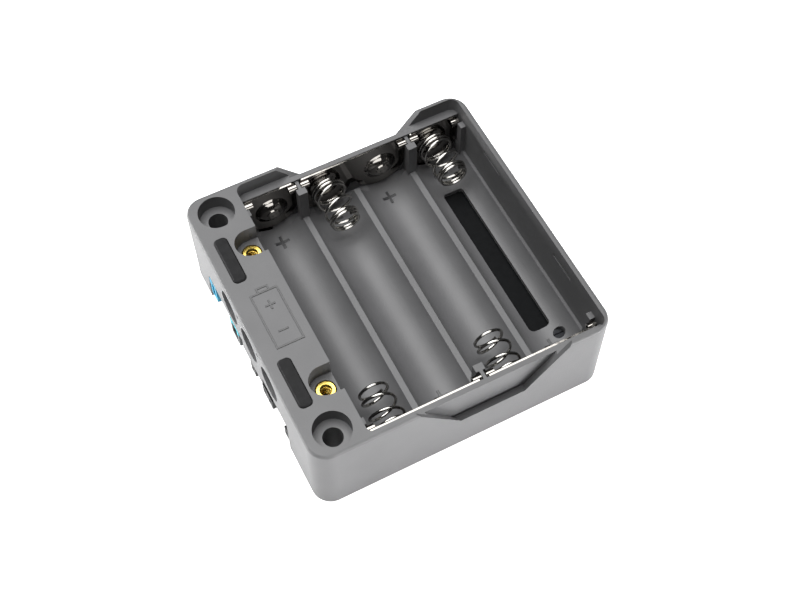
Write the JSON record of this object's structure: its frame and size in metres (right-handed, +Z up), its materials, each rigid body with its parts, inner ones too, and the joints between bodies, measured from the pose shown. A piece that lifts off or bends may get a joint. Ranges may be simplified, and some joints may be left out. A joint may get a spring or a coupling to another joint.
{
  "type": "battery holder module",
  "caption": "Square stackable battery holder: open cell bays with conical springs and button contacts, corner screw holes, brass lid inserts, side bores and a port window.",
  "frame": {"origin": "centre of the body's outline on the plane of its lower stacking rim", "axes": "+Z up out of the open bays; Y along the cells; +X from the screw block across the bays"},
  "size_m": [0.054, 0.054, 0.0181],
  "materials": {
    "grey_plastic": "fine matte texture",
    "black_rubber": "matte",
    "brass": "turned",
    "nickel_plate": "bright nickel plate",
    "spring_steel": "bright nickel plate",
    "board": "solder mask",
    "screw_steel": "zinc plate",
    "black_plastic": "moulded",
    "dark_plastic": "moulded",
    "blue_plastic": "moulded",
    "gold_contact": "gold flash"
  },
  "bodies": {
    "holder": {"housing": "grey_plastic", "pad_rear": "black_rubber", "pad_front": "black_rubber", "insert_rear": "brass", "insert_front": "brass", "plate_rear_bay_1": "nickel_plate", "plate_rear_bays_2_3": "nickel_plate", "plate_rear_bay_4": "nickel_plate", "plate_front_bays_1_2": "nickel_plate", "plate_front_bays_3_4": "nickel_plate", "circuit_board": "board", "board_screw_rear": "screw_steel", "board_screw_front": "screw_steel", "bus_socket": "black_plastic", "bus_contacts": "gold_contact", "port_socket_blue": "blue_plastic", "port_pins_blue": "gold_contact", "port_socket_grey": "dark_plastic", "port_pins_grey": "gold_contact", "header_middle_single": "black_plastic", "header_contacts_middle_single": "gold_contact", "header_middle_double": "black_plastic", "header_contacts_middle_double": "gold_contact", "header_front_single": "black_plastic", "header_contacts_front_single": "gold_contact"},
    "spring_1": {"spring_bay_1": "spring_steel"},
    "spring_2": {"spring_bay_2": "spring_steel"},
    "spring_3": {"spring_bay_3": "spring_steel"},
    "spring_4": {"spring_bay_4": "spring_steel"}
  },
  "joints": [
    {"name": "spring_press_1", "type": "slide", "parent": "holder", "child": "spring_1", "axis": [0, -1, 0], "range_m": [0, 0.004], "stiffness_N_per_m": 600, "deforming": ["spring_bay_1"]},
    {"name": "spring_press_2", "type": "slide", "parent": "holder", "child": "spring_2", "axis": [0, 1, 0], "range_m": [0, 0.004], "stiffness_N_per_m": 600, "deforming": ["spring_bay_2"]},
    {"name": "spring_press_3", "type": "slide", "parent": "holder", "child": "spring_3", "axis": [0, -1, 0], "range_m": [0, 0.004], "stiffness_N_per_m": 600, "deforming": ["spring_bay_3"]},
    {"name": "spring_press_4", "type": "slide", "parent": "holder", "child": "spring_4", "axis": [0, 1, 0], "range_m": [0, 0.004], "stiffness_N_per_m": 600, "deforming": ["spring_bay_4"]}
  ]
}
